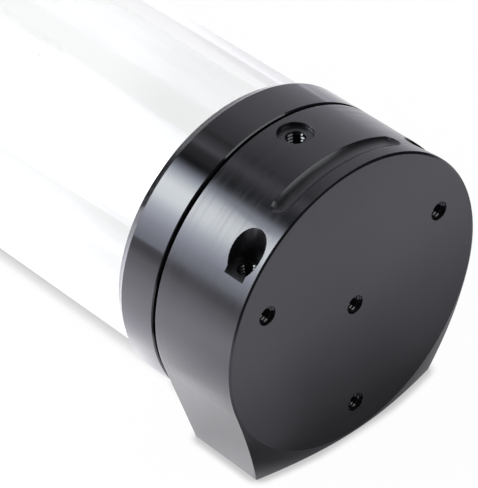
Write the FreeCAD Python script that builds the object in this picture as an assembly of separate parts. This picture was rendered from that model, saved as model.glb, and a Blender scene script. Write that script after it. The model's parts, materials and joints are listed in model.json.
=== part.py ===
import FreeCAD, Part
import math
import os
from FreeCAD import Vector

# A tube reservoir for a liquid cooling loop, lying on the flat feet of its two end blocks.
# Sizes are millimetres. The tube runs along Y, Z is up, and the feet stand on Z = 0.
# Each end is drawn from its own end face inwards, as a depth, and then set in its place.

# Driving sizes: overall form
overall_length = 250.0
tube_r = 30.0
tube_wall = 5.0
collar_step = 2.0
foot_drop = 0.2
foot_half_width = 23.3
block_length = 20.9
face_chamfer_r = 0.5
face_chamfer_y = 0.22
foot_bevel_deg = 21.5
seam_chamfer = 0.25

# Driving sizes: union between a block and the tube
seam_gap = 0.7
collar_wall = 2.1
collar_lip = 3.2
collar_chamfer_r = 1.1
collar_chamfer_y = 2.0
spigot_length = 5.1
neck_drop = 2.5
end_land = 0.8
retainer_thickness = 1.2
retainer_groove = 1.2
retainer_split = 4.0
slip_thickness = 0.7
seal_section_r = 0.85
seal_gap = 0.4
cavity_step = 1.0
floor_thickness = 18.5

# Driving sizes: tapped holes of the blocks
m4_r = 2.0
end_hole_depth = 10.0
end_hole_inset = 7.5
upper_hole_deg = 24.7
head_recess_r = 3.6
side_screw_inset = 9.5
side_screw_depth = 4.8
side_screw_sink = 4.15
side_slot_width = 4.8
side_hole_length = 5.0
top_screw_depth = 15.7
top_screw_sink = 1.0
top_hole_length = 7.0
foot_hole_x = 15.0
foot_hole_length = 8.0

# Driving sizes: shallow groove beside the end face
recess_half_length = 15.75
recess_width = 4.0
recess_depth = 0.9
recess_inset = 2.65

# Driving sizes: coolant ports
port_circle_r = 15.0
port_r = 6.58
port_length = 11.5
fill_port_deg = 90.0
inlet_port_deg = 210.0
outlet_port_deg = 330.0
outlet_passage_r = 5.0
port_chamfer = 0.4

# Driving sizes: fill plug and its seal
plug_head_r = 10.2
plug_head_thickness = 4.0
plug_sunk = 0.3
plug_shank_length = 9.0
plug_tip_chamfer = 0.8
plug_rim_chamfer = 0.5
slot_width = 2.0
slot_depth = 1.6
plug_seal_mean_r = 7.6
plug_seal_section_r = 0.8

# Driving sizes: inlet pipe
pipe_r = 5.0
pipe_wall = 1.0
pipe_reach = 80.0
pipe_socket_depth = 4.5
pipe_seal_section_r = 0.6
pipe_seal_setback = 2.2

# Driving sizes: baffle that stops the water swirling into the outlet
blade_wall_gap = 0.5
baffle_length = 40.0
blade_thickness = 2.0
blade_setback = 1.5
blade_root = 1.2
blade_count = 3
first_blade_deg = 30.0
blade_hole_r = 4.0
blade_hole_count = 3
hub_r = 6.0
screw_head_r = 3.5
screw_head_height = 4.0
screw_socket_r = 1.75
screw_socket_depth = 2.0
screw_grip = 8.0
washer_r = 4.3
washer_thickness = 0.8

# Clearances
turn_clearance = 0.3
axial_clearance = 0.1
seat_clearance = 0.05
groove_clearance = 0.15
plug_floor_gap = 0.3
seal_top_clearance = 0.08
seal_floor_clearance = 0.02
screw_clearance = 0.2
overrun = 1.0

# Sizes that follow from the ones above
body_r = tube_r + collar_step
axis_height = body_r + foot_drop
tube_bore_r = tube_r - tube_wall
neck_r = tube_r - neck_drop
thread_bore_r = body_r - collar_wall
spigot_r = thread_bore_r - turn_clearance
cavity_r = tube_bore_r - cavity_step
spigot_end = block_length + spigot_length
tube_end = spigot_end + seal_gap
retainer_start = tube_end + end_land
slip_start = retainer_start + retainer_thickness
lip_start = slip_start + slip_thickness + axial_clearance
collar_start = block_length + seam_gap
collar_end = lip_start + collar_lip
shoulder = collar_end + axial_clearance
retainer_inner_r = neck_r - retainer_groove
retainer_outer_r = spigot_r - screw_clearance
hole_circle_r = body_r - end_hole_inset
side_screw_x = body_r - side_screw_inset
side_floor_up = math.sqrt(body_r**2 - side_screw_x**2) - side_screw_sink
top_floor_up = body_r - top_screw_sink
plug_under = plug_sunk + plug_head_thickness
plug_recess_floor = plug_under + plug_floor_gap
socket_floor = floor_thickness - pipe_socket_depth
baffle_r = cavity_r - blade_wall_gap
baffle_end = floor_thickness + baffle_length


def solid_of(shape):
    """The shape with its faces pointing outwards."""
    return shape if shape.Volume > 0 else shape.reversed()


def bar(radius, start, end, x=0.0, up=0.0):
    """Round bar along the tube's direction, beside the axis by x and up."""
    foot = Vector(x, start, axis_height + up)
    return Part.makeCylinder(radius, end - start, foot, Vector(0, 1, 0))


def ring(outer, inner, start, end, x=0.0, up=0.0):
    """Flat ring along the tube's direction."""
    return bar(outer, start, end, x, up).cut(bar(inner, start - overrun, end + overrun, x, up))


def post(radius, x, depth, bottom_up, top_up):
    """Upright round bar, with its ends given above the tube's axis."""
    return Part.makeCylinder(radius, top_up - bottom_up, Vector(x, depth, axis_height + bottom_up))


def turned(profile, x=0.0, up=0.0):
    """Solid of revolution about a line along the tube, from (radius, depth) points."""
    points = [Vector(x + radius, depth, axis_height + up) for radius, depth in profile]
    face = Part.Face(Part.makePolygon(points + points[:1]))
    return solid_of(face.revolve(Vector(x, 0, axis_height + up), Vector(0, 1, 0), 360))


def o_ring(mean_r, section_r, depth, x=0.0, up=0.0):
    """Rubber ring round a line along the tube."""
    centre = Vector(x, depth, axis_height + up)
    return Part.makeTorus(mean_r, section_r, centre, Vector(0, 1, 0))


def port_place(angle_deg):
    """Sideways and upward place of a port on the port circle."""
    angle = math.radians(angle_deg)
    return port_circle_r * math.cos(angle), port_circle_r * math.sin(angle)


def block_prism():
    """Round body with two tangent flanks that run down to a flat foot."""
    corner = math.hypot(foot_half_width, axis_height)
    tangent = math.atan2(-axis_height, foot_half_width) + math.acos(body_r / corner)
    side_x = body_r * math.cos(tangent)
    side_z = axis_height + body_r * math.sin(tangent)
    right = Vector(side_x, 0, side_z)
    left = Vector(-side_x, 0, side_z)
    crown = Vector(0, 0, axis_height + body_r)
    right_toe = Vector(foot_half_width, 0, 0)
    left_toe = Vector(-foot_half_width, 0, 0)
    outline = Part.Wire([
        Part.Arc(right, crown, left).toShape(),
        Part.LineSegment(left, left_toe).toShape(),
        Part.LineSegment(left_toe, right_toe).toShape(),
        Part.LineSegment(right_toe, right).toShape(),
    ])
    prism = solid_of(Part.Face(outline).extrude(Vector(0, block_length, 0)))
    seam_edges = [edge for edge in prism.Edges if edge.BoundBox.YMin > block_length - seam_chamfer]
    return prism.makeChamfer(seam_chamfer, seam_edges)


def block_nose():
    """Turned envelope of a block: end face, edge chamfer, and the bevel of the foot's corners."""
    reach = math.hypot(foot_half_width, axis_height) + overrun
    bevel = math.tan(math.radians(foot_bevel_deg)) * (reach - body_r)
    return turned([
        (0, 0),
        (body_r - face_chamfer_r, 0),
        (body_r, face_chamfer_y),
        (reach, face_chamfer_y + bevel),
        (reach, block_length + overrun),
        (0, block_length + overrun),
    ])


def recess_tool():
    """Groove of a ball-nosed cutter swung round the tube's axis, with round ends."""
    ball_r = (recess_width**2 / 4 + recess_depth**2) / (2 * recess_depth)
    swing_r = body_r - recess_depth + ball_r
    half_turn = math.asin(recess_half_length / body_r) - math.asin(recess_width / 2 / body_r)
    middle = recess_inset + recess_width / 2
    sideways = swing_r * math.sin(half_turn)
    height = axis_height + swing_r * math.cos(half_turn)
    along = Vector(0, 1, 0)
    forward = Vector(math.cos(half_turn), 0, math.sin(half_turn))
    section = Part.Circle(Vector(-sideways, middle, height), forward, ball_r)
    face = Part.Face(Part.Wire(section.toShape()))
    groove = solid_of(face.revolve(Vector(0, middle, axis_height), along, math.degrees(2 * half_turn)))
    ends = [Part.makeSphere(ball_r, Vector(side * sideways, middle, height), along) for side in (-1, 1)]
    return groove.fuse(ends)


def screw_holes():
    """Upright tapped holes of a block: two sunk beside the crown, one on it, two in the foot."""
    above = body_r + overrun
    tools = [
        post(head_recess_r, 0, top_screw_depth, top_floor_up, above),
        post(m4_r, 0, top_screw_depth, top_floor_up - top_hole_length, above),
    ]
    slot_start = side_screw_depth - side_slot_width / 2
    slot_length = above - side_screw_x
    slot_height = above - side_floor_up
    for side in (-1, 1):
        x = side * side_screw_x
        slot_corner = Vector(min(x, side * above), slot_start, axis_height + side_floor_up)
        tools.append(post(head_recess_r, x, side_screw_depth, side_floor_up, above))
        tools.append(Part.makeBox(slot_length, side_slot_width, slot_height, slot_corner))
        tools.append(post(m4_r, x, side_screw_depth, side_floor_up - side_hole_length, above))
        foot_x = side * foot_hole_x
        tools.append(post(m4_r, foot_x, block_length / 2, -axis_height - overrun, foot_hole_length - axis_height))
    return tools


def end_holes():
    """Tapped holes in the end face: one on the axis and three round it."""
    places = [(0.0, 0.0)]
    for angle_deg in (upper_hole_deg, 180 - upper_hole_deg, 270):
        angle = math.radians(angle_deg)
        places.append((hole_circle_r * math.cos(angle), hole_circle_r * math.sin(angle)))
    return [bar(m4_r, -overrun, end_hole_depth, x, up) for x, up in places]


def plain_block():
    """Block with its spigot, water cavity, seal groove, recess and upright screw holes."""
    block = block_prism().common(block_nose())
    block = block.fuse(bar(spigot_r, block_length - overrun, spigot_end))
    seal_r = (tube_bore_r + neck_r) / 2
    half_groove = seal_section_r + groove_clearance
    groove_depth = 2 * seal_section_r - seal_gap + seal_top_clearance + seal_floor_clearance
    tools = screw_holes()
    tools.append(bar(cavity_r, floor_thickness, spigot_end + overrun))
    tools.append(ring(seal_r + half_groove, seal_r - half_groove, spigot_end - groove_depth, spigot_end + overrun))
    tools.append(recess_tool())
    return block.cut(tools).removeSplitter()


def base_block():
    """End block with the four tapped holes in its end face."""
    return plain_block().cut(end_holes())


def port_tools():
    """Port threads, passages, pipe socket, plug recess and baffle screw hole of the port block."""
    tools = []
    for angle_deg in (fill_port_deg, inlet_port_deg, outlet_port_deg):
        x, up = port_place(angle_deg)
        tools.append(turned([
            (0, -overrun),
            (port_r + port_chamfer + overrun, -overrun),
            (port_r, port_chamfer),
            (port_r, port_length),
            (0, port_length),
        ], x, up))
    fill_x, fill_up = port_place(fill_port_deg)
    tools.append(bar(plug_head_r + turn_clearance, -overrun, plug_recess_floor, fill_x, fill_up))
    tools.append(bar(port_r, plug_recess_floor, floor_thickness + overrun, fill_x, fill_up))
    outlet_x, outlet_up = port_place(outlet_port_deg)
    tools.append(bar(outlet_passage_r, port_length - overrun, floor_thickness + overrun, outlet_x, outlet_up))
    inlet_x, inlet_up = port_place(inlet_port_deg)
    tools.append(bar(pipe_r - pipe_wall, port_length - overrun, floor_thickness, inlet_x, inlet_up))
    tools.append(bar(pipe_r + seat_clearance, socket_floor, floor_thickness + overrun, inlet_x, inlet_up))
    seal_mid = floor_thickness - pipe_seal_setback
    half_groove = pipe_seal_section_r + groove_clearance
    seal_reach = pipe_r + 2 * pipe_seal_section_r + 2 * seat_clearance
    tools.append(bar(seal_reach, seal_mid - half_groove, seal_mid + half_groove, inlet_x, inlet_up))
    tools.append(bar(m4_r + seat_clearance, floor_thickness - screw_grip - overrun, floor_thickness + overrun))
    return tools


def port_block():
    """End block with the coolant ports in its end face."""
    return plain_block().cut(port_tools())


def collar():
    """Union collar: threaded over the spigot, with a lip that draws the tube in."""
    lip_bore_r = neck_r + turn_clearance
    edge = seam_chamfer
    return turned([
        (thread_bore_r, collar_start),
        (body_r - edge, collar_start),
        (body_r, collar_start + edge),
        (body_r, collar_end - collar_chamfer_y),
        (body_r - collar_chamfer_r, collar_end),
        (lip_bore_r, collar_end),
        (lip_bore_r, lip_start),
        (thread_bore_r, lip_start),
    ])


def retaining_ring():
    """Split steel ring in the groove of the tube's neck."""
    whole = ring(retainer_outer_r, retainer_inner_r + seat_clearance, retainer_start, slip_start)
    split = Part.makeBox(
        retainer_split, retainer_thickness + 2 * overrun, retainer_outer_r + overrun,
        Vector(-retainer_split / 2, retainer_start - overrun, axis_height - retainer_outer_r - overrun))
    return whole.cut(split)


def slip_ring():
    """Low-friction washer between the retaining ring and the collar's lip."""
    return ring(retainer_outer_r, neck_r + groove_clearance, slip_start, slip_start + slip_thickness)


def tube_seal():
    """Face seal in the spigot's groove, under the tube's end."""
    depth = tube_end - seal_top_clearance - seal_section_r
    return o_ring((tube_bore_r + neck_r) / 2, seal_section_r, depth)


def tube():
    """Clear tube with a stepped and grooved neck at each end."""
    half = [
        (tube_bore_r, tube_end),
        (neck_r, tube_end),
        (neck_r, retainer_start),
        (retainer_inner_r, retainer_start),
        (retainer_inner_r, slip_start),
        (neck_r, slip_start),
        (neck_r, shoulder),
        (tube_r, shoulder),
    ]
    other_half = [(radius, overall_length - depth) for radius, depth in reversed(half)]
    return turned(half + other_half)


def fill_plug():
    """Flush plug with a coin slot, a threaded shank and a seal recess under its head."""
    x, up = port_place(fill_port_deg)
    shank_r = port_r - turn_clearance
    recess_r = plug_seal_mean_r + plug_seal_section_r + groove_clearance
    recess_top = plug_recess_floor - 2 * plug_seal_section_r - 2 * seat_clearance
    tip = plug_under + plug_shank_length
    plug = turned([
        (0, plug_sunk),
        (plug_head_r - plug_rim_chamfer, plug_sunk),
        (plug_head_r, plug_sunk + plug_rim_chamfer),
        (plug_head_r, plug_under),
        (recess_r, plug_under),
        (recess_r, recess_top),
        (shank_r, recess_top),
        (shank_r, tip - plug_tip_chamfer),
        (shank_r - plug_tip_chamfer, tip),
        (0, tip),
    ], x, up)
    slot_length = 2 * (plug_head_r + overrun)
    slot = Part.makeBox(
        slot_length, slot_depth + overrun, slot_width,
        Vector(x - slot_length / 2, plug_sunk - overrun, axis_height + up - slot_width / 2))
    return plug.cut(slot)


def fill_plug_seal():
    """Rubber ring under the plug's head."""
    x, up = port_place(fill_port_deg)
    depth = plug_recess_floor - seat_clearance - plug_seal_section_r
    return o_ring(plug_seal_mean_r, plug_seal_section_r, depth, x, up)


def inlet_pipe():
    """Clear pipe that carries the returning water away from the outlet."""
    x, up = port_place(inlet_port_deg)
    return ring(pipe_r, pipe_r - pipe_wall, socket_floor, floor_thickness + pipe_reach, x, up)


def inlet_pipe_seal():
    """Rubber ring in the socket's groove, round the pipe."""
    x, up = port_place(inlet_port_deg)
    mean_r = pipe_r + seat_clearance + pipe_seal_section_r
    return o_ring(mean_r, pipe_seal_section_r, floor_thickness - pipe_seal_setback, x, up)


def blade_turn(shape, index):
    """The shape turned about the tube's axis to one of the baffle's blade places."""
    turn_deg = -first_blade_deg - index * 360 / blade_count
    return shape.rotated(Vector(0, 0, axis_height), Vector(0, 1, 0), turn_deg)


def baffle_hub():
    """Turned column that holds the baffle's blades in slots."""
    head_floor = baffle_end - screw_head_height - washer_thickness
    hub = ring(hub_r, m4_r + screw_clearance, floor_thickness, baffle_end)
    hub = hub.cut(bar(washer_r + screw_clearance, head_floor, baffle_end + overrun))
    slot = Part.makeBox(
        hub_r, baffle_length, blade_thickness + 2 * seat_clearance,
        Vector(hub_r - blade_root - seat_clearance, floor_thickness + blade_setback - seat_clearance,
               axis_height - blade_thickness / 2 - seat_clearance))
    for index in range(blade_count):
        hub = hub.cut(blade_turn(slot, index))
    return hub


def baffle_blade(index):
    """Flat blade with flow holes, from the hub's slot out to the tube's wall."""
    start = floor_thickness + blade_setback
    inner = hub_r - blade_root
    width = baffle_r - inner
    length = baffle_end - start
    blade = Part.makeBox(width, length, blade_thickness, Vector(inner, start, axis_height - blade_thickness / 2))
    pitch = length / blade_hole_count
    hole_x = (hub_r + baffle_r) / 2
    for number in range(blade_hole_count):
        foot = Vector(hole_x, start + (number + 0.5) * pitch, axis_height - blade_thickness)
        blade = blade.cut(Part.makeCylinder(blade_hole_r, 2 * blade_thickness, foot))
    return blade_turn(blade, index)


def baffle_screw():
    """Socket screw that holds the hub to the port block."""
    head_floor = baffle_end - screw_head_height
    screw = bar(m4_r, floor_thickness - screw_grip, head_floor + overrun)
    screw = screw.fuse(bar(screw_head_r, head_floor, baffle_end))
    across = screw_socket_r / math.cos(math.pi / 6)
    corners = []
    for number in range(7):
        angle = number * math.pi / 3
        corners.append(Vector(across * math.cos(angle), baffle_end - screw_socket_depth,
                              axis_height + across * math.sin(angle)))
    socket = Part.Face(Part.makePolygon(corners)).extrude(Vector(0, screw_socket_depth + overrun, 0))
    return screw.cut(socket).removeSplitter()


def baffle_washer():
    """Plain washer under the screw's head."""
    under = baffle_end - screw_head_height
    return ring(washer_r, m4_r + screw_clearance, under - washer_thickness, under)


def at_base(shape):
    """Set a piece at the base end, whose end face looks towards -Y."""
    return shape.translated(Vector(0, -overall_length / 2, 0))


def at_port(shape):
    """Set a piece at the port end, the mirror image of the base end."""
    return at_base(shape).mirror(Vector(0, 0, 0), Vector(0, 1, 0))


def pieces():
    """Every piece of the reservoir by name, in its place."""
    named = {
        "base_block": at_base(base_block()),
        "port_block": at_port(port_block()),
        "tube": at_base(tube()),
        "fill_plug": at_port(fill_plug()),
        "fill_plug_seal": at_port(fill_plug_seal()),
        "inlet_pipe": at_port(inlet_pipe()),
        "inlet_pipe_seal": at_port(inlet_pipe_seal()),
        "baffle_hub": at_port(baffle_hub()),
        "baffle_screw": at_port(baffle_screw()),
        "baffle_washer": at_port(baffle_washer()),
    }
    for index in range(blade_count):
        named["baffle_blade_%d" % (index + 1)] = at_port(baffle_blade(index))
    for end, place in (("base", at_base), ("port", at_port)):
        named[end + "_collar"] = place(collar())
        named[end + "_slip_ring"] = place(slip_ring())
        named[end + "_retaining_ring"] = place(retaining_ring())
        named[end + "_tube_seal"] = place(tube_seal())
    return named


os.makedirs("parts", exist_ok=True)
for name, shape in pieces().items():
    shape.exportStep("parts/%s.step" % name)
    print("%-22s solids %d  valid %s  volume %.1f" % (name, len(shape.Solids), shape.isValid(), shape.Volume))
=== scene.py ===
import json
import math

import bpy
from mathutils import Matrix, Quaternion, Vector


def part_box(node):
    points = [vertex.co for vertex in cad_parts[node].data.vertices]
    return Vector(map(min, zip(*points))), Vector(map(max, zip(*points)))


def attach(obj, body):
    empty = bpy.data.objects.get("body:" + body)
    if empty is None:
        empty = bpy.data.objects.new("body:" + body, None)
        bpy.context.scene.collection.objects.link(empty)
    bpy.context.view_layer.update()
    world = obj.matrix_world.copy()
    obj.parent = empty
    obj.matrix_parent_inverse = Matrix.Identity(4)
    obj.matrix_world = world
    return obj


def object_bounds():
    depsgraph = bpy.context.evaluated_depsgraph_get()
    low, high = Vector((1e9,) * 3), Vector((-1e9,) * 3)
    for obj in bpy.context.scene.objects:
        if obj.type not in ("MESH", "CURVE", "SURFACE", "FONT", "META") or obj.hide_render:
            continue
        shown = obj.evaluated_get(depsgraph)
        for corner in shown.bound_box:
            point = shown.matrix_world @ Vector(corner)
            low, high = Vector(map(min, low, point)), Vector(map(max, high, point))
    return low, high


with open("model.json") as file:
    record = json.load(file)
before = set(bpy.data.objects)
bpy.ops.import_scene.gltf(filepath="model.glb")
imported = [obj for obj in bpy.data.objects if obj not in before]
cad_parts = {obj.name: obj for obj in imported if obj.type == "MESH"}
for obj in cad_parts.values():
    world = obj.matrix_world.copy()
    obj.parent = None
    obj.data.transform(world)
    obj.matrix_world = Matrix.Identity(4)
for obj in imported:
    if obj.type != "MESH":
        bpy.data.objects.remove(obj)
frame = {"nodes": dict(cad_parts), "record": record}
cad_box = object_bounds()

# A tube reservoir for a liquid cooling loop, lying on the flat feet of its two end blocks.
# Lengths are metres. The tube runs along Y, and the photographed end looks towards -Y.

MM = 0.001

# Places read from the frame
mounts = {mount["name"]: mount for mount in frame["record"]["mounts"]}
collar_low, collar_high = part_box("base_collar")
plug_low, plug_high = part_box("fill_plug")
axis_height = (collar_low.z + collar_high.z) / 2
block_radius = (collar_high.z - collar_low.z) / 2
base_face = cad_box[0].y
port_face = cad_box[1].y

# Threads: depths of the tapped holes, and pitch and height of each kind of ridge
wall_bite = 0.03 * MM
tap_pitch = 0.7 * MM
tap_ridge = 0.28 * MM
tap_lead_in = 0.25 * MM
tap_depths = {
    "end_face_upper_holes": 10.0 * MM,
    "end_face_lower_holes": 10.0 * MM,
    "crown_side_holes": 5.0 * MM,
    "crown_top_holes": 7.0 * MM,
    "foot_holes": 8.0 * MM,
}
pipe_pitch = 25.4 * MM / 19
pipe_ridge = 0.8 * MM
plug_ridge = 0.22 * MM
plug_shank_radius = 6.28 * MM
plug_thread_start = 6.6 * MM
plug_thread_length = 5.4 * MM
union_pitch = 1.5 * MM
union_ridge = 0.22 * MM
spigot_radius = 29.6 * MM
spigot_start = 20.9 * MM
spigot_thread_length = 4.6 * MM
ridge_steps = 40
ridge_foot_share = 0.9
ridge_crest_share = 0.1
ridge_smooth_angle = math.radians(35)

# Camera that matches the photograph's frame of 478 x 488 pixels
image_long_side = 488
focal_pixels = 3086.05
camera_place = Vector((-310.62, -447.37, 405.25)) * MM
camera_heading = math.radians(41.183)
camera_dip = math.radians(38.637)
camera_roll = math.radians(-1.967)
sensor_width = 36.0

# Studio
lamp_distance = 1.2
lamp_colour = (0.945, 1.0, 1.04)
table_size = 6.0
table_glow = 0.97
table_colour = (0.965, 0.95, 1.07)
sweep_level = 0.78
neutral = (1.0, 1.0, 1.0)
bluish_edge = (0.94, 0.95, 1.1)

# Fades of the lamps, from foot to top: each pair is a share of the height and its level or colour
key_levels = (
    (0.0, 0.16), (0.08, 0.186), (0.2275, 0.31), (0.378, 0.555), (0.52, 0.95), (0.644, 1.0),
    (0.675, 0.98), (0.7425, 0.805), (0.812, 0.56), (0.885, 0.26), (0.9545, 0.055), (1.0, 0.0),
)
key_tints = (
    (0.0, bluish_edge), (0.22, bluish_edge), (0.554, neutral), (0.694, neutral),
    (0.897, bluish_edge), (1.0, bluish_edge),
)
even_levels = ((0.0, 1.0), (1.0, 1.0))
even_tints = ((0.0, neutral), (1.0, neutral))

# Light and shade that only reflections show: painted on the table, and the ceiling's light in the world.
# Each pair is a place on the table, or a direction's X, and its level
# Painted shade on the table before the base end face, darkest close to the face and far out
painted_front_shade = (
    (-0.24, 0.02), (-0.216, 0.25), (-0.2, 0.85), (-0.186, 1.1), (-0.178, 1.1), (-0.161, 0.96),
    (-0.155, 0.86), (-0.148, 0.64), (-0.14, 0.43), (-0.129, 0.19), (-0.12, 0.16),
)
# Painted light on the table beside the base block, with painted shade close to its right side
painted_block_side_light = (
    (-1.0, 0.6), (-0.265, 0.95), (-0.141, 1.2), (-0.095, 1.33), (-0.07, 1.6), (-0.056, 1.73),
    (-0.036, 1.7), (-0.031, 1.67), (-0.026, 1.35), (-0.02, 1.2), (-0.016, 1.42), (0.0, 1.0),
    (0.03, 0.5), (0.07, 0.8), (0.11, 1.05),
)
# Painted pool of light on the table beside the tube, brightest close to its left side
painted_tube_side_light = (
    (-1.0, 0.65), (-0.265, 1.12), (-0.145, 1.42), (-0.1, 1.5), (-0.076, 1.65), (-0.058, 2.0),
    (-0.039, 2.45), (-0.034, 2.8), (-0.029, 2.55), (-0.0235, 1.55), (-0.0195, 1.15), (0.05, 1.05),
    (0.3, 1.05), (0.9, 0.8),
)
# Painted shade on the table behind the port end face
painted_port_end_shade = (
    (0.115, 1.0), (0.12, 0.16), (0.129, 0.19), (0.14, 0.4), (0.155, 0.75), (0.178, 0.85), (0.25, 1.0),
)
ceiling_levels = (
    (-0.3, 0.0), (-0.265, 0.03), (-0.238, 0.06), (-0.211, 0.18), (-0.155, 0.27), (-0.127, 0.33),
    (-0.099, 0.65), (-0.07, 0.98), (-0.041, 0.8), (0.016, 0.5), (0.073, 0.27), (0.11, 0.45),
    (0.16, 0.5), (0.3, 0.64), (0.42, 0.77), (0.5, 0.78),
)


def deselect():
    """Leave edit mode with nothing selected."""
    if bpy.context.object and bpy.context.object.mode != "OBJECT":
        bpy.ops.object.mode_set(mode="OBJECT")
    bpy.ops.object.select_all(action="DESELECT")


def pick(piece):
    """Make one piece the selected and active one."""
    deselect()
    piece.select_set(True)
    bpy.context.view_layer.objects.active = piece


# Materials


def join(tree, source, target):
    """Link a socket, or set a plain value, on an input."""
    if hasattr(source, "is_linked"):
        tree.links.new(source, target)
    else:
        target.default_value = source


def calculate(tree, operation, first, second):
    """One step of arithmetic between two sockets or numbers."""
    node = tree.nodes.new("ShaderNodeMath")
    node.operation = operation
    join(tree, first, node.inputs[0])
    join(tree, second, node.inputs[1])
    return node.outputs[0]


def plus(tree, first, second):
    """Sum of two sockets or numbers."""
    return calculate(tree, "ADD", first, second)


def less(tree, first, second):
    """The first socket or number less the second."""
    return calculate(tree, "SUBTRACT", first, second)


def times(tree, first, second):
    """Product of two sockets or numbers."""
    return calculate(tree, "MULTIPLY", first, second)


def size_of(tree, value):
    """A value without its sign."""
    return calculate(tree, "ABSOLUTE", value, 0.0)


def remap(tree, value, low, high, to_low=0.0, to_high=1.0):
    """A value eased from one range to another."""
    node = tree.nodes.new("ShaderNodeMapRange")
    node.interpolation_type = "SMOOTHSTEP"
    node.inputs["From Min"].default_value = low
    node.inputs["From Max"].default_value = high
    join(tree, to_low, node.inputs["To Min"])
    join(tree, to_high, node.inputs["To Max"])
    tree.links.new(value, node.inputs["Value"])
    return node.outputs["Result"]


def profile(tree, value, stops):
    """Level or colour that follows a value through stops, each a value and its level or colour."""
    low, high = stops[0][0], stops[-1][0]
    scaled = tree.nodes.new("ShaderNodeMapRange")
    scaled.inputs["From Min"].default_value = low
    scaled.inputs["From Max"].default_value = high
    tree.links.new(value, scaled.inputs["Value"])
    node = tree.nodes.new("ShaderNodeValToRGB")
    elements = node.color_ramp.elements
    while len(elements) < len(stops):
        elements.new(0.5)
    for element, (place, level) in zip(elements, stops):
        element.position = (place - low) / (high - low)
        element.color = (*level, 1) if isinstance(level, tuple) else (level, level, level, 1)
    tree.links.new(scaled.outputs["Result"], node.inputs["Fac"])
    return node.outputs["Color"]


def new_material(name):
    """A node material, its shader and its object coordinates."""
    material = bpy.data.materials.new(name)
    material.use_nodes = True
    tree = material.node_tree
    place = tree.nodes.new("ShaderNodeTexCoord").outputs["Object"]
    return material, tree, tree.nodes["Principled BSDF"], place


def noise(tree, place, stretch, detail=3.0):
    """Noise whose detail per metre differs along the axes."""
    mapping = tree.nodes.new("ShaderNodeMapping")
    mapping.inputs["Scale"].default_value = stretch
    texture = tree.nodes.new("ShaderNodeTexNoise")
    texture.inputs["Scale"].default_value = 1.0
    texture.inputs["Detail"].default_value = detail
    tree.links.new(place, mapping.inputs["Vector"])
    tree.links.new(mapping.outputs["Vector"], texture.inputs["Vector"])
    return texture.outputs["Fac"]


def tint(tree, value, dark, light):
    """Colour between two close shades, by a noise value."""
    node = tree.nodes.new("ShaderNodeValToRGB")
    for element, position, colour in zip(node.color_ramp.elements, (0.3, 0.7), (dark, light)):
        element.position = position
        element.color = (*colour, 1)
    tree.links.new(value, node.inputs["Fac"])
    return node.outputs["Color"]


def bump(tree, height, distance, below):
    """Small relief from a height value, over another relief."""
    node = tree.nodes.new("ShaderNodeBump")
    node.inputs["Distance"].default_value = distance
    tree.links.new(height, node.inputs["Height"])
    tree.links.new(below, node.inputs["Normal"])
    return node.outputs["Normal"]


def eased_edges(tree, radius):
    """Normal that rounds the edges a little, as a deburring pass does."""
    node = tree.nodes.new("ShaderNodeBevel")
    node.inputs["Radius"].default_value = radius
    return node.outputs["Normal"]


def lathe_place(tree, place):
    """Coordinates of a turned part: distance from the axis, place along it, and a slow drift around it."""
    centred = tree.nodes.new("ShaderNodeVectorMath")
    centred.operation = "SUBTRACT"
    centred.inputs[1].default_value = (0, 0, axis_height)
    tree.links.new(place, centred.inputs[0])
    parts = tree.nodes.new("ShaderNodeSeparateXYZ")
    tree.links.new(centred.outputs["Vector"], parts.inputs["Vector"])
    x, y, z = parts.outputs
    squares = plus(tree, times(tree, x, x), times(tree, z, z))
    from_axis = calculate(tree, "SQRT", squares, 0.0)
    turned = tree.nodes.new("ShaderNodeCombineXYZ")
    for source, target in zip((from_axis, y, plus(tree, x, z)), turned.inputs):
        tree.links.new(source, target)
    return turned.outputs["Vector"]


def block_masks(tree, lathe):
    """Two masks behind a block's end face: its turned round, and what is milled below that round."""
    parts = tree.nodes.new("ShaderNodeSeparateXYZ")
    tree.links.new(lathe, parts.inputs["Vector"])
    from_axis = parts.outputs["X"]
    from_middle = size_of(tree, parts.outputs["Y"])
    behind_face = remap(tree, from_middle, port_face - 0.5 * MM, port_face - 0.2 * MM, 1.0, 0.0)
    off_flanks = remap(tree, from_axis, block_radius + 0.1 * MM, block_radius + 0.6 * MM, 1.0, 0.0)
    below_round = remap(tree, from_axis, block_radius - 0.3 * MM, block_radius - 0.1 * MM, 1.0, 0.0)
    return times(tree, behind_face, off_flanks), times(tree, behind_face, below_round)


def turned_acetal():
    """Black acetal with the fine rings and streaks of a lathe tool, a little duller where it is milled."""
    material, tree, shader, place = new_material("turned_acetal")
    lathe = lathe_place(tree, place)
    on_round, milled = block_masks(tree, lathe)
    rings = noise(tree, lathe, (230, 230, 14), detail=3.0)
    streaks = noise(tree, lathe, (520, 520, 14), detail=4.0)
    lines = times(tree, noise(tree, lathe, (1000, 1000, 9), detail=2.0), on_round)
    grain = noise(tree, place, (2600, 2600, 2600))
    shade = tint(tree, streaks, (0.0045, 0.0045, 0.005), (0.0075, 0.0075, 0.0085))
    tree.links.new(shade, shader.inputs["Base Color"])
    streaky = remap(tree, streaks, 0.25, 0.75, 0.165, 0.21)
    lined = remap(tree, lines, 0.42, 0.75, 0.0, 0.07)
    roughness = plus(tree, plus(tree, streaky, lined), times(tree, milled, 0.1))
    tree.links.new(roughness, shader.inputs["Roughness"])
    relief = bump(tree, rings, 0.015 * MM, eased_edges(tree, 0.18 * MM))
    tree.links.new(bump(tree, grain, 0.001 * MM, relief), shader.inputs["Normal"])
    shader.inputs["IOR"].default_value = 1.57
    around = tree.nodes.new("ShaderNodeTangent")
    around.direction_type = "RADIAL"
    around.axis = "Y"
    tree.links.new(around.outputs["Tangent"], shader.inputs["Tangent"])
    shader.inputs["Anisotropic"].default_value = 0.7
    shader.inputs["Anisotropic Rotation"].default_value = 0.25
    return material


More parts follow.
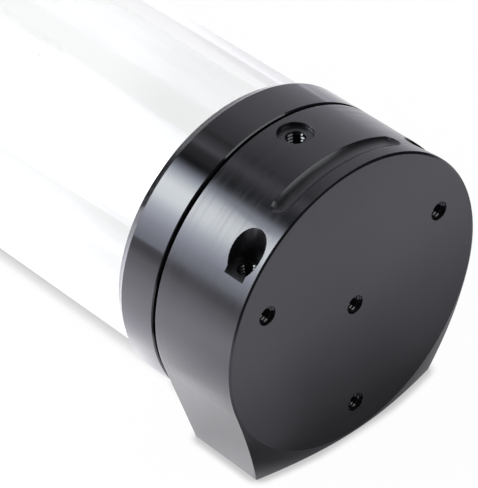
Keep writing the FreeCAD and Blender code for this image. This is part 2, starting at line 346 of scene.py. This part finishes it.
def polished_acetal():
    """Black acetal polished on the lathe, with faint rings left."""
    material, tree, shader, place = new_material("polished_acetal")
    rings = noise(tree, lathe_place(tree, place), (700, 700, 20))
    smudge = noise(tree, place, (90, 90, 90), detail=2.0)
    shade = tint(tree, smudge, (0.0045, 0.0045, 0.005), (0.0065, 0.0065, 0.0072))
    tree.links.new(shade, shader.inputs["Base Color"])
    tree.links.new(remap(tree, smudge, 0.3, 0.7, 0.07, 0.10), shader.inputs["Roughness"])
    tree.links.new(bump(tree, rings, 0.004 * MM, eased_edges(tree, 0.12 * MM)), shader.inputs["Normal"])
    shader.inputs["IOR"].default_value = 1.57
    return material


def clear_acrylic():
    """Clear acrylic with polished faces and a breath of haze."""
    material, tree, shader, place = new_material("clear_acrylic")
    haze = noise(tree, place, (40, 40, 40), detail=2.0)
    tree.links.new(remap(tree, haze, 0.3, 0.7, 0.01, 0.03), shader.inputs["Roughness"])
    shader.inputs["Base Color"].default_value = (0.985, 0.99, 0.99, 1)
    shader.inputs["Transmission Weight"].default_value = 1.0
    shader.inputs["IOR"].default_value = 1.49
    return material


def black_rubber():
    """Moulded sealing rubber."""
    material, tree, shader, place = new_material("black_rubber")
    grain = noise(tree, place, (1800, 1800, 1800))
    bloom = noise(tree, place, (160, 160, 160))
    shade = tint(tree, bloom, (0.012, 0.012, 0.012), (0.022, 0.022, 0.023))
    tree.links.new(shade, shader.inputs["Base Color"])
    tree.links.new(remap(tree, bloom, 0.3, 0.7, 0.5, 0.65), shader.inputs["Roughness"])
    tree.links.new(bump(tree, grain, 0.004 * MM, eased_edges(tree, 0.05 * MM)), shader.inputs["Normal"])
    return material


def drawn_steel():
    """Bright drawn steel with lines from its making."""
    material, tree, shader, place = new_material("drawn_steel")
    lines = noise(tree, place, (60, 2400, 60), detail=4.0)
    shade = tint(tree, lines, (0.48, 0.485, 0.49), (0.62, 0.625, 0.63))
    tree.links.new(shade, shader.inputs["Base Color"])
    tree.links.new(remap(tree, lines, 0.3, 0.7, 0.18, 0.32), shader.inputs["Roughness"])
    tree.links.new(bump(tree, lines, 0.002 * MM, eased_edges(tree, 0.08 * MM)), shader.inputs["Normal"])
    shader.inputs["Metallic"].default_value = 1.0
    return material


def waxy_white():
    """White low-friction plastic with a waxy skin."""
    material, tree, shader, place = new_material("waxy_white")
    cloud = noise(tree, place, (300, 300, 300))
    shade = tint(tree, cloud, (0.78, 0.78, 0.76), (0.86, 0.86, 0.84))
    tree.links.new(shade, shader.inputs["Base Color"])
    tree.links.new(remap(tree, cloud, 0.3, 0.7, 0.32, 0.45), shader.inputs["Roughness"])
    return material


finishes = {
    "acetal_satin": turned_acetal(),
    "acetal_polished": polished_acetal(),
    "clear_acrylic": clear_acrylic(),
    "black_rubber": black_rubber(),
    "spring_steel": drawn_steel(),
    "white_slip": waxy_white(),
}


def dress(piece, finish):
    """Give a piece one finish over all its faces."""
    piece.data.materials.clear()
    piece.data.materials.append(finishes[finish])


def dress_nodes():
    """Give every piece of the frame the finish that its record names."""
    for subpart in frame["record"]["subparts"]:
        dress(frame["nodes"][subpart["node"]], subpart["material_slot"])


# Threads


def thread_ridge(name, radius, ridge, pitch, length, inward):
    """Helical ridge along Z from the origin down: on a bore wall it points inward, on a shank outward."""
    side = -1 if inward else 1
    middle = radius + side * (ridge - wall_bite) / 2
    deselect()
    centre = (middle, 0, -pitch / 2)
    bpy.ops.mesh.primitive_plane_add(size=1, location=centre, rotation=(math.pi / 2, 0, 0))
    piece = bpy.context.object
    piece.name = name
    piece.scale = (ridge + wall_bite, ridge_foot_share * pitch, 1)
    bpy.ops.object.transform_apply(location=True, rotation=True, scale=True)
    bpy.ops.object.mode_set(mode="EDIT")
    bpy.ops.mesh.delete(type="ONLY_FACE")
    bpy.ops.object.mode_set(mode="OBJECT")
    for vertex in piece.data.vertices:
        vertex.select = (vertex.co.x - middle) * side > 0
    bpy.ops.object.mode_set(mode="EDIT")
    bpy.ops.transform.resize(value=(1, 1, ridge_crest_share), center_override=centre)
    bpy.ops.object.mode_set(mode="OBJECT")
    turn = piece.modifiers.new("turn", "SCREW")
    turn.axis = "Z"
    turn.screw_offset = -pitch
    turn.iterations = max(1, math.floor(length / pitch) - 1)
    turn.steps = ridge_steps
    turn.render_steps = ridge_steps
    turn.use_normal_calculate = True
    bpy.ops.object.modifier_apply(modifier=turn.name)
    bpy.ops.object.mode_set(mode="EDIT")
    bpy.ops.mesh.select_all(action="SELECT")
    bpy.ops.mesh.fill_holes(sides=4)
    bpy.ops.mesh.select_all(action="SELECT")
    bpy.ops.mesh.normals_make_consistent(inside=False)
    bpy.ops.object.mode_set(mode="OBJECT")
    bpy.ops.object.shade_smooth_by_angle(angle=ridge_smooth_angle)
    return piece


def place_thread(ridge, mouth, outward):
    """Turn a ridge so that its top faces outward from the mouth of a hole."""
    pick(ridge)
    turn = Vector((0, 0, 1)).rotation_difference(Vector(outward)).to_matrix().to_4x4()
    ridge.matrix_world = Matrix.Translation(mouth) @ turn
    bpy.ops.object.transform_apply(location=True, rotation=True, scale=True)


def pattern_places(mount):
    """Centres of a bolt pattern's holes: across is X, and along is Y, or Z on an end face."""
    half_x = mount["dims"].get("spacing_x_mm", 0) * MM / 2
    half_y = mount["dims"].get("spacing_y_mm", 0) * MM / 2
    along = Vector((0, 0, 1)) if mount["axis"][1] else Vector((0, 1, 0))
    across = Vector((1, 0, 0))
    signs_x = (-1, 1) if half_x else (0,)
    signs_y = (-1, 1) if half_y else (0,)
    centre = Vector(mount["pos_m"])
    return [centre + across * sign_x * half_x + along * sign_y * half_y
            for sign_x in signs_x for sign_y in signs_y]


def tapped_holes():
    """Screw threads in the tapped holes of both blocks."""
    for mount_name, depth in tap_depths.items():
        mount = mounts[mount_name]
        radius = mount["dims"]["hole_r_mm"] * MM
        outward = Vector(mount["axis"])
        for number, mouth in enumerate(pattern_places(mount), 1):
            name = f"{mount_name}_thread_{number}"
            ridge = thread_ridge(name, radius, tap_ridge, tap_pitch, depth, True)
            place_thread(ridge, mouth - outward * tap_lead_in, outward)
            dress(ridge, "acetal_polished")
            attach(ridge, "base" if mouth.y < 0 else "port_end")


def port_threads():
    """Pipe threads in the two open coolant ports."""
    for port in ("inlet_port", "outlet_port"):
        mount = mounts[port]
        radius = mount["dims"]["r_mm"] * MM
        length = mount["dims"]["length_mm"] * MM
        outward = Vector(mount["axis"])
        ridge = thread_ridge(f"{port}_thread", radius, pipe_ridge, pipe_pitch, length, True)
        place_thread(ridge, Vector(mount["pos_m"]) + outward * length / 2, outward)
        dress(ridge, "acetal_satin")
        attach(ridge, "port_end")


def plug_thread():
    """Pipe thread on the shank of the fill plug."""
    ridge = thread_ridge("fill_plug_thread", plug_shank_radius, plug_ridge, pipe_pitch,
                         plug_thread_length, False)
    centre = (plug_low + plug_high) / 2
    place_thread(ridge, Vector((centre.x, port_face - plug_thread_start, centre.z)), (0, 1, 0))
    dress(ridge, "acetal_satin")
    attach(ridge, "fill_plug")


def spigot_threads():
    """Union threads on the spigots that the collars screw onto."""
    for body, face, outward in (("base", base_face, 1), ("port_end", port_face, -1)):
        ridge = thread_ridge(f"{body}_spigot_thread", spigot_radius, union_ridge, union_pitch,
                             spigot_thread_length, False)
        top = face + outward * (spigot_start + spigot_thread_length)
        place_thread(ridge, Vector((0, top, axis_height)), (0, outward, 0))
        dress(ridge, "acetal_satin")
        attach(ridge, body)


# Stage


def ray_kinds(tree):
    """Sockets that tell whether a ray comes from the camera, a reflection or a refraction."""
    outputs = tree.nodes.new("ShaderNodeLightPath").outputs
    refracted = outputs["Is Transmission Ray"]
    mirrored = less(tree, outputs["Is Glossy Ray"], refracted)
    return outputs["Is Camera Ray"], mirrored, refracted


def blend(tree, terms):
    """Sum of level sockets or numbers, each weighted by a ray kind."""
    total = 0.0
    for weight, level in terms:
        total = plus(tree, times(tree, weight, level), total)
    return total


def cooled(tree, glossy):
    """White, or the cool white of the lit studio for reflections."""
    node = tree.nodes.new("ShaderNodeMix")
    node.data_type = "RGBA"
    tree.links.new(glossy, node.inputs["Factor"])
    node.inputs["A"].default_value = (1, 1, 1, 1)
    node.inputs["B"].default_value = (*table_colour, 1)
    return node.outputs["Result"]


def minus_share(tree, first, second, share):
    """The first value less a share of the second, for lines that run aslant over the table."""
    return less(tree, first, times(tree, second, share))


def closeness(tree, distance):
    """How open a point is to the sky within a distance: low where something stands close."""
    node = tree.nodes.new("ShaderNodeAmbientOcclusion")
    node.samples = 12
    node.inputs["Distance"].default_value = distance
    return node.outputs["AO"]


def table_in_front(tree, x, y):
    """Painted light and shade that a reflection finds on the table before the photographed end face:
    painted shade close to the face, lifted by painted light towards its sides.
    """
    across = minus_share(tree, x, less(tree, y, base_face), -0.8)
    left = times(tree, remap(tree, across, -0.008, -0.022, 0.0, 0.16), remap(tree, y, -0.17, -0.148))
    right = times(tree, remap(tree, across, 0.008, 0.022, 0.0, 0.11), remap(tree, y, -0.155, -0.137))
    clear_of_foot = remap(tree, y, -0.1295, -0.1345)
    painted_side_light = times(tree, plus(tree, left, right), clear_of_foot)
    return plus(tree, profile(tree, y, painted_front_shade), painted_side_light)


def table_beside(tree, x, y, sideways):
    """Painted light and shade that a reflection finds on the table beside the reservoir and past its port
    end.
    """
    # Painted light beside the block and the tube, by the foot and to the back right; painted shade past
    # the port end, and a painted dark band far behind it
    block_side = profile(tree, sideways, painted_block_side_light)
    tube_side = profile(tree, sideways, painted_tube_side_light)
    beside = remap(tree, y, -0.092, -0.078, block_side, tube_side)
    painted_foot_light = times(tree, remap(tree, y, -0.108, -0.096), remap(tree, y, -0.085, -0.093, 0.0, 0.17))
    painted_foot_light = times(tree, painted_foot_light, remap(tree, sideways, -0.037, -0.032))
    painted_back_right_light = times(tree, remap(tree, minus_share(tree, y, x, 0.55), -0.06, 0.0),
                       remap(tree, x, 0.8, 0.5, 0.0, 0.5))
    painted_port_shade = profile(tree, y, painted_port_end_shade)
    painted_port_shade = remap(tree, size_of(tree, x), 0.05, 0.08, painted_port_shade, 1.0)
    strip = times(tree, remap(tree, minus_share(tree, x, y, 0.13), 0.05, 0.02),
                  remap(tree, minus_share(tree, x, y, -0.22), -0.08, -0.05))
    level = less(tree, 1.0, times(tree, remap(tree, y, 0.3, 0.42), strip))
    for factor in (beside, plus(tree, painted_foot_light, 1.0), plus(tree, painted_back_right_light, 1.0), painted_port_shade):
        level = times(tree, level, factor)
    return level


def pale_floor():
    """White table with a thin contact shadow, painted into its glow beside a little real shade;
    reflections see painted light and shade on it.
    """
    deselect()
    bpy.ops.mesh.primitive_plane_add(size=table_size, location=(0, 0, 0))
    floor = bpy.context.object
    floor.name = "table"
    material = bpy.data.materials.new("white_table")
    material.use_nodes = True
    material.cycles.emission_sampling = "NONE"
    tree = material.node_tree
    tree.nodes.clear()
    camera, glossy, transmission = ray_kinds(tree)
    place = tree.nodes.new("ShaderNodeSeparateXYZ")
    tree.links.new(tree.nodes.new("ShaderNodeTexCoord").outputs["Object"], place.inputs["Vector"])
    x, y = place.outputs["X"], place.outputs["Y"]

    # Painted shadow: the camera sees the table's glow darkened where things stand close, under the feet
    # and under the tube
    painted_foot_shadow = remap(tree, closeness(tree, 2.5 * MM), 0.4, 0.95, 0.55, 1.0)
    painted_tube_shadow = remap(tree, closeness(tree, 7 * MM), 0.6, 0.85, 0.6, 1.0)
    contact = remap(tree, y, -0.095, -0.09, painted_foot_shadow, painted_tube_shadow)
    # Painted shade: seen through the tube, the table is darker towards the base end
    through = remap(tree, minus_share(tree, y, x, 0.67), -0.058, -0.028, 0.86, 1.0)
    sideways = minus_share(tree, x, plus(tree, y, 0.085), 0.25)
    in_front = table_in_front(tree, x, y)
    beside = table_beside(tree, x, y, sideways)
    # Painted light and shade that reflections see on the table
    mirrored = remap(tree, y, -0.1255, -0.1195, in_front, beside)
    strength = blend(tree, ((camera, contact), (transmission, through), (glossy, mirrored)))
    # The painted light in reflections is cool white, less cool close beside the reservoir
    near = times(tree, remap(tree, sideways, -0.052, -0.036), remap(tree, sideways, 0.25, 0.11, 0.0, 0.6))
    cool_share = less(tree, 1.0, remap(tree, y, -0.127, -0.12, 0.0, near))

    matt = tree.nodes.new("ShaderNodeBsdfDiffuse")
    matt.inputs["Color"].default_value = (0.88, 0.88, 0.88, 1)
    white = tree.nodes.new("ShaderNodeEmission")
    tree.links.new(cooled(tree, times(tree, glossy, cool_share)), white.inputs["Color"])
    tree.links.new(strength, white.inputs["Strength"])
    mix = tree.nodes.new("ShaderNodeMixShader")
    seen = calculate(tree, "MAXIMUM", transmission, glossy)
    shown = calculate(tree, "MAXIMUM", times(tree, camera, table_glow), seen)
    tree.links.new(shown, mix.inputs["Fac"])
    tree.links.new(matt.outputs["BSDF"], mix.inputs[1])
    tree.links.new(white.outputs["Emission"], mix.inputs[2])
    out = tree.nodes.new("ShaderNodeOutputMaterial")
    tree.links.new(mix.outputs["Shader"], out.inputs["Surface"])
    floor.data.materials.append(material)


def studio_world():
    """White to the eye and through the tube; reflections show a sweep behind and a dark room in front."""
    world = bpy.data.worlds.new("studio")
    bpy.context.scene.world = world
    world.use_nodes = True
    world.cycles.sampling_method = "NONE"
    tree = world.node_tree
    background = tree.nodes["Background"]
    camera, glossy, transmission = ray_kinds(tree)
    way = tree.nodes.new("ShaderNodeSeparateXYZ")
    tree.links.new(tree.nodes.new("ShaderNodeTexCoord").outputs["Generated"], way.inputs["Vector"])
    x, y, z = way.outputs
    high = remap(tree, z, 0.6, 0.68)
    ceiling = profile(tree, x, ceiling_levels)
    sweep = blend(tree, ((high, ceiling), (less(tree, 1.0, high), sweep_level)))
    behind = times(tree, remap(tree, y, -0.1, 0.3, 0.04, 1.0), remap(tree, y, 0.988, 0.972, 0.03, 1.0))
    reflected = times(tree, behind, sweep)
    seen = calculate(tree, "MAXIMUM", camera, transmission)
    unseen = less(tree, 1.0, calculate(tree, "MAXIMUM", seen, glossy))
    total = blend(tree, ((seen, 1.0), (glossy, reflected), (unseen, 0.5)))
    tree.links.new(total, background.inputs["Strength"])
    tree.links.new(cooled(tree, glossy), background.inputs["Color"])


def softbox(name, aim, azimuth, elevation, roll, width, height, radiance, levels, tints):
    """Area lamp in a direction from the aim, rolled about it; levels and tints run from foot to top."""
    azimuth, elevation = math.radians(azimuth), math.radians(elevation)
    way = Vector((math.sin(azimuth) * math.cos(elevation), -math.cos(azimuth) * math.cos(elevation),
                  math.sin(elevation)))
    lamp = bpy.data.lights.new(name, "AREA")
    lamp.shape = "RECTANGLE"
    lamp.size = width
    lamp.size_y = height
    lamp.color = lamp_colour
    lamp.energy = radiance * math.pi * width * height
    lamp.use_nodes = True
    tree = lamp.node_tree
    up = tree.nodes.new("ShaderNodeSeparateXYZ")
    tree.links.new(tree.nodes.new("ShaderNodeNewGeometry").outputs["Parametric"], up.inputs["Vector"])
    emission = tree.nodes["Emission"]
    tree.links.new(profile(tree, up.outputs["Y"], levels), emission.inputs["Strength"])
    tree.links.new(profile(tree, up.outputs["Y"], tints), emission.inputs["Color"])
    holder = bpy.data.objects.new(name, lamp)
    bpy.context.scene.collection.objects.link(holder)
    holder.location = aim + way * lamp_distance
    upright = (-way).to_track_quat("-Z", "Y")
    holder.rotation_euler = (upright @ Quaternion((0, 0, 1), math.radians(roll))).to_euler()
    holder.visible_camera = False


def studio_camera():
    """Camera with the photograph's viewing angle, lens and framing."""
    lens = bpy.data.cameras.new("camera")
    lens.sensor_width = sensor_width
    lens.lens = focal_pixels * sensor_width / image_long_side
    lens.clip_start = 0.05
    lens.clip_end = 20.0
    camera = bpy.data.objects.new("camera", lens)
    bpy.context.scene.collection.objects.link(camera)
    turn = Matrix.Rotation(-camera_heading, 4, "Z")
    tilt = Matrix.Rotation(math.pi / 2 - camera_dip, 4, "X")
    roll = Matrix.Rotation(camera_roll, 4, "Z")
    camera.matrix_world = Matrix.Translation(camera_place) @ turn @ tilt @ roll
    bpy.context.scene.camera = camera


dress_nodes()
tapped_holes()
port_threads()
plug_thread()
spigot_threads()
pale_floor()
studio_world()
base_end = Vector((0, base_face, axis_height))
softbox("key", base_end, azimuth=-137.4, elevation=28.35, roll=45, width=0.9, height=1.043,
        radiance=11.4, levels=key_levels, tints=key_tints)
softbox("front_fill", base_end, azimuth=27, elevation=46, roll=0, width=0.87, height=0.69,
        radiance=2.3, levels=even_levels, tints=even_tints)
studio_camera()
bpy.context.scene.view_settings.view_transform = "Standard"
